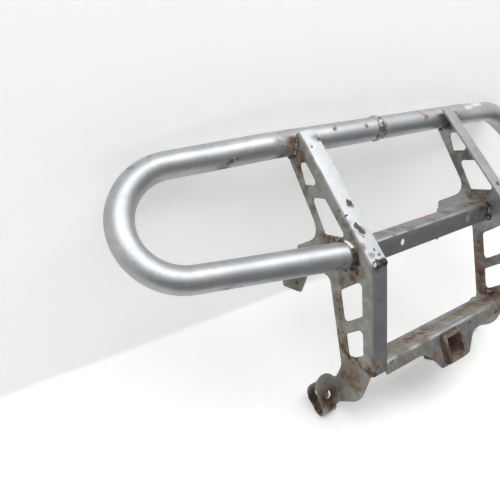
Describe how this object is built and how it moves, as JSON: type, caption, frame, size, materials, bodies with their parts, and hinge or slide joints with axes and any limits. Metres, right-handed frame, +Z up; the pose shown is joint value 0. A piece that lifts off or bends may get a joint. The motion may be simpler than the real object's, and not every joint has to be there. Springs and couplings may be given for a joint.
{
  "type": "atv front bumper",
  "caption": "Welded tube bumper for a quad bike: wide hoops on folded sheet side brackets with windows, clevis ears, a cross strap and a lower receiver socket.",
  "frame": {"origin": "middle of the cross strap's flat front face", "axes": "-Y is the vehicle's front, +Z up, +X to the vehicle's left seen from the front, along the bumper's width"},
  "size_m": [0.7654, 0.1842, 0.3643],
  "materials": {
    "tube_paint": "satin silver paint, scratched, rust at the welds",
    "sheet_paint": "satin silver paint, chipped along the folds",
    "worn_paint": "silver paint with rust and dirt on top",
    "weld_bead": "painted over, partly rusted",
    "rusty_steel": "brown rust over remains of silver paint"
  },
  "bodies": {
    "root": {"hoop_tube_left": "tube_paint", "hoop_tube_right": "tube_paint", "side_bracket_left": "sheet_paint", "side_bracket_right": "sheet_paint", "cross_strap": "sheet_paint", "lower_channel": "worn_paint", "receiver_tube": "rusty_steel", "receiver_weld": "rusty_steel", "seam_weld": "weld_bead", "knee_weld_left": "weld_bead", "knee_weld_right": "weld_bead", "saddle_weld_outer_left": "weld_bead", "saddle_weld_outer_right": "weld_bead", "saddle_weld_inner_left": "weld_bead", "saddle_weld_inner_right": "weld_bead", "hoop_end_weld_left": "weld_bead", "hoop_end_weld_right": "weld_bead", "strap_weld_left": "weld_bead", "strap_weld_right": "weld_bead", "channel_weld_left": "weld_bead", "channel_weld_right": "weld_bead"}
  },
  "joints": []
}
